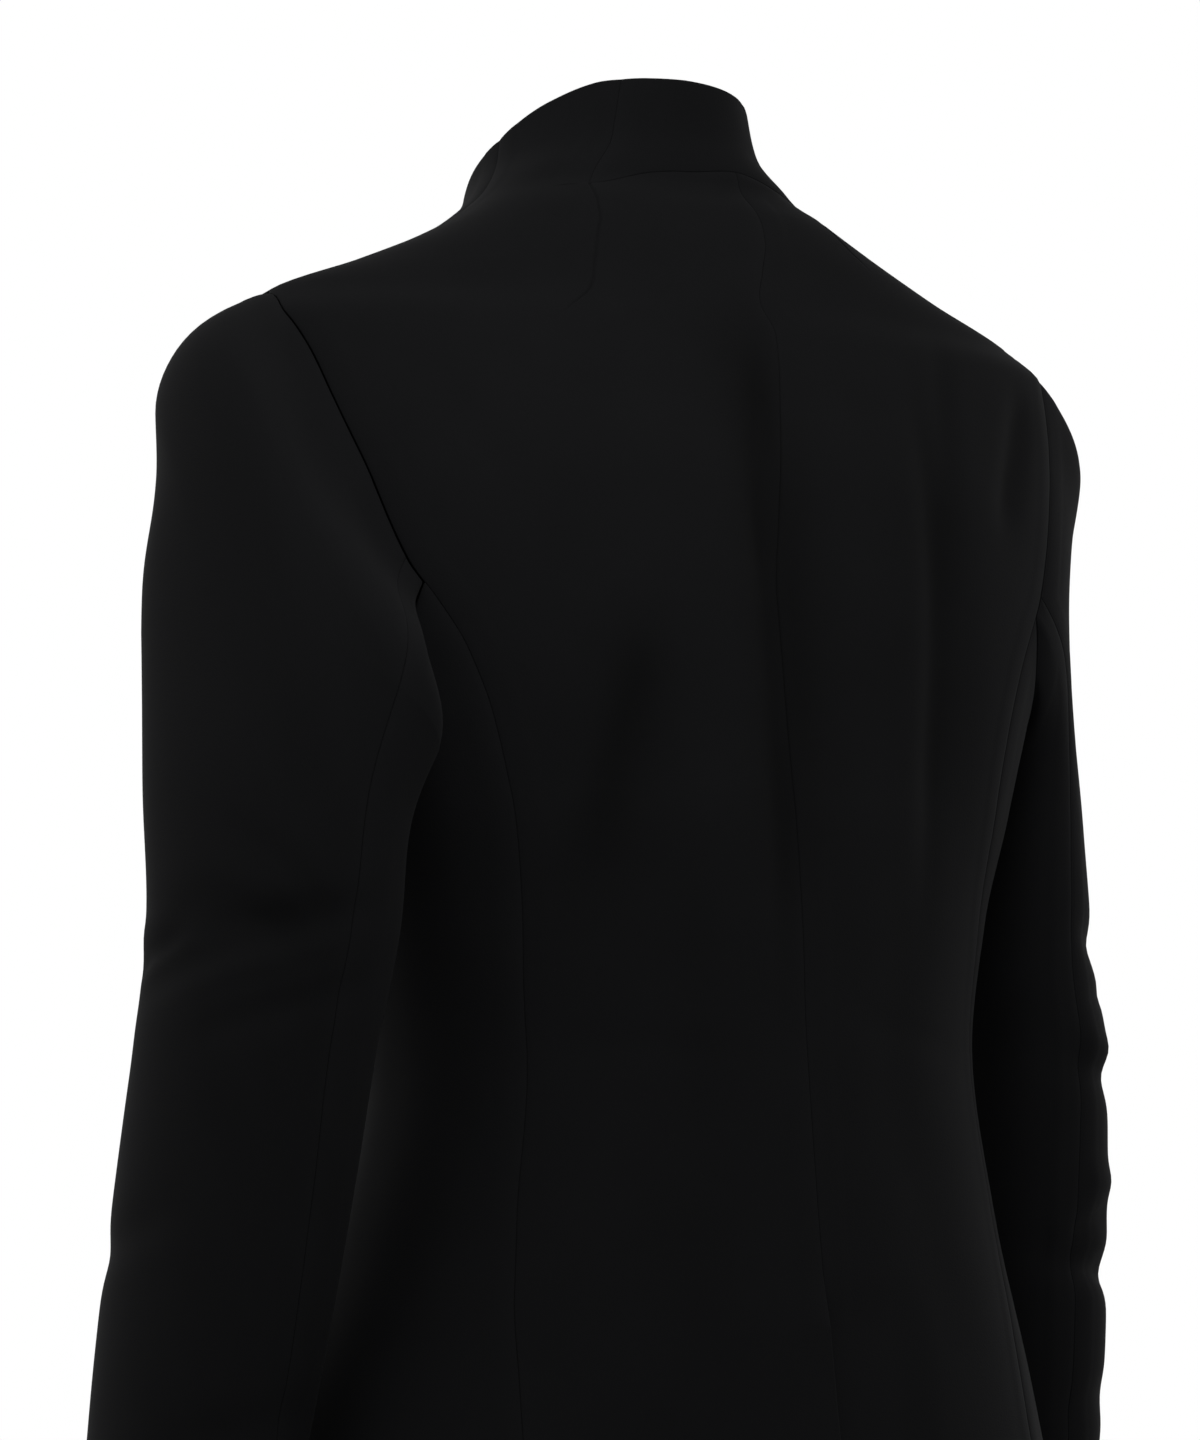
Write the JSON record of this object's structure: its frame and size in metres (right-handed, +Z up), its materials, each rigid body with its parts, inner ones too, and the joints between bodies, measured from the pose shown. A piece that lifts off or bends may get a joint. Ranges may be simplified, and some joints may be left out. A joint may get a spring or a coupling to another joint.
{
  "type": "double-breasted suit jacket",
  "caption": "Worn tailored jacket, hollow, with a high funnel collar cut on the body, princess seams, set-in two-piece sleeves and a buttoned double-breasted front.",
  "frame": {"origin": "midway between the inner ends of the two shoulder seams, where the wearer's shoulders and neck carry the jacket", "axes": "+Z up, +X to the wearer's left, +Y to the wearer's back; the wearer faces -Y"},
  "size_m": [0.5414, 0.2757, 0.7485],
  "materials": {
    "back_left": "matte black wool",
    "back_right": "matte black wool",
    "collar_back": "matte black wool",
    "front_left": "matte black wool",
    "front_right": "matte black wool",
    "side_left": "matte black wool",
    "side_right": "matte black wool",
    "upper_sleeve_left": "matte black wool",
    "upper_sleeve_right": "matte black wool",
    "under_sleeve_left": "matte black wool",
    "under_sleeve_right": "matte black wool",
    "button_1": "matte black, slightly smoother than the cloth",
    "button_2": "matte black, slightly smoother than the cloth",
    "button_3": "matte black, slightly smoother than the cloth",
    "button_4": "matte black, slightly smoother than the cloth",
    "button_5": "matte black, slightly smoother than the cloth",
    "button_6": "matte black, slightly smoother than the cloth"
  },
  "bodies": {
    "root": {"back_left": "back_left", "back_right": "back_right", "collar_back": "collar_back", "front_left": "front_left", "front_right": "front_right", "side_left": "side_left", "side_right": "side_right", "upper_sleeve_left": "upper_sleeve_left", "upper_sleeve_right": "upper_sleeve_right", "under_sleeve_left": "under_sleeve_left", "under_sleeve_right": "under_sleeve_right", "button_1": "button_1", "button_2": "button_2", "button_3": "button_3", "button_4": "button_4", "button_5": "button_5", "button_6": "button_6"}
  },
  "joints": []
}
